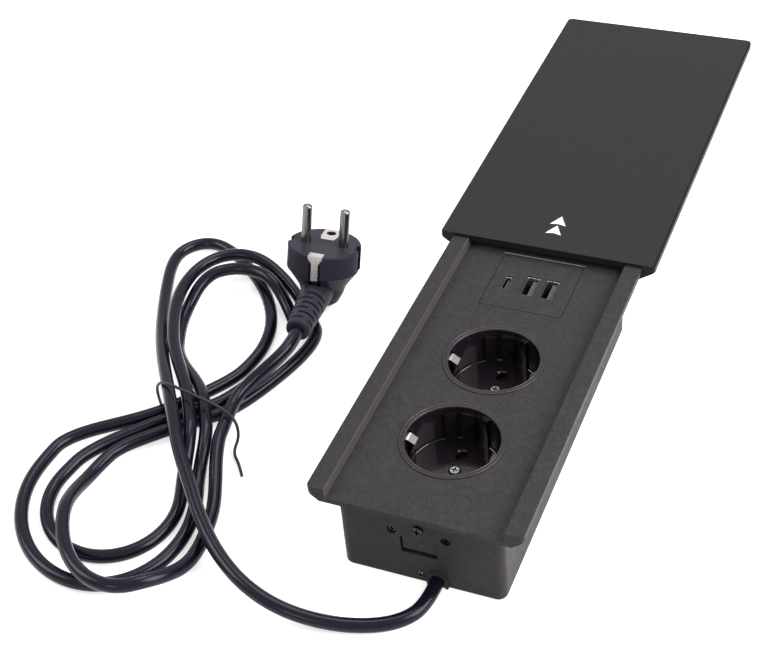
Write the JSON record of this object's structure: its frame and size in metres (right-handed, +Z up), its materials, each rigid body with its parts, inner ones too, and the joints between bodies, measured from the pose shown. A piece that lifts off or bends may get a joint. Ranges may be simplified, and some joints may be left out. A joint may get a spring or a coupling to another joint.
{
  "type": "recessed desk socket",
  "caption": "Desk socket box with a flanged top, round earthed socket wells, charging ports, a sliding cover, and a coiled mains cord with a plug.",
  "frame": {"origin": "middle of the housing's base, on the surface that it stands on", "axes": "+X across the housing, +Y along it towards the open cover, +Z up"},
  "size_m": [0.2559, 0.4322, 0.0545],
  "materials": {
    "black_shell": "fine matte grain",
    "frame_plastic": "fine matte grain",
    "cover_plastic": "smooth matte",
    "well_plastic": "gloss",
    "shutter_plastic": "satin",
    "spring_steel": "bright wire",
    "nickel": "nickel plated",
    "brass_strip": "bright rolled strip",
    "carrier_plastic": "moulded",
    "insert_plastic": "fine matte grain",
    "port_steel": "rolled sheet",
    "tongue_plastic": "satin",
    "board_laminate": "solder mask",
    "transformer_tape": "tape on a ferrite core",
    "capacitor_sleeve": "shrunk sleeve",
    "chip_epoxy": "moulded",
    "screw_steel": "zinc plated",
    "cord_jacket": "soft gloss",
    "tie_plastic": "satin",
    "plug_plastic": "soft gloss",
    "live_sleeve": "satin",
    "neutral_sleeve": "satin",
    "earth_sleeve": "satin",
    "usb_sleeve": "satin"
  },
  "bodies": {
    "base": {"housing": "black_shell", "top_frame": "frame_plastic", "front_socket_well": "well_plastic", "rear_socket_well": "well_plastic", "front_shutter_spring": "spring_steel", "rear_shutter_spring": "spring_steel", "front_earth_clip": "nickel", "rear_earth_clip": "nickel", "plug_pins": "nickel", "plug_earth_contacts": "nickel", "live_bus_bar": "brass_strip", "neutral_bus_bar": "brass_strip", "earth_bus_bar": "brass_strip", "contact_carrier": "carrier_plastic", "cord_clamp": "carrier_plastic", "usb_face": "insert_plastic", "usb_a_shells": "port_steel", "usb_c_shell": "port_steel", "usb_tongues": "tongue_plastic", "usb_board": "board_laminate", "usb_transformer": "transformer_tape", "usb_capacitors": "capacitor_sleeve", "usb_chip": "chip_epoxy", "frame_screws": "screw_steel", "carrier_screws": "screw_steel", "well_screws": "screw_steel", "usb_board_screws": "screw_steel", "cord_clamp_screws": "screw_steel", "end_wall_screws": "screw_steel", "cord_outlet_screw": "screw_steel", "cord_lead": "cord_jacket", "cord_hank": "cord_jacket", "cord_tail": "cord_jacket", "plug_strain_relief": "cord_jacket", "cord_gland": "cord_jacket", "cord_tie": "tie_plastic", "plug_body": "plug_plastic", "live_wire": "live_sleeve", "neutral_wire": "neutral_sleeve", "earth_wire": "earth_sleeve", "usb_wires": "usb_sleeve"},
    "cover": {"sliding_cover": "cover_plastic"},
    "front_shutter": {"front_shutter": "shutter_plastic"},
    "rear_shutter": {"rear_shutter": "shutter_plastic"}
  },
  "joints": [
    {"name": "cover_slide", "type": "slide", "parent": "base", "child": "cover", "axis": [0, -1, 0], "range_m": [0, 0.1796]},
    {"name": "front_shutter_slide", "type": "slide", "parent": "base", "child": "front_shutter", "axis": [1, 0, 0], "range_m": [0, 0.0058], "stiffness_N_per_m": 80, "springref_m": -0.002, "deforming": ["front_shutter_spring"]},
    {"name": "rear_shutter_slide", "type": "slide", "parent": "base", "child": "rear_shutter", "axis": [1, 0, 0], "range_m": [0, 0.0058], "stiffness_N_per_m": 80, "springref_m": -0.002, "deforming": ["rear_shutter_spring"]}
  ]
}
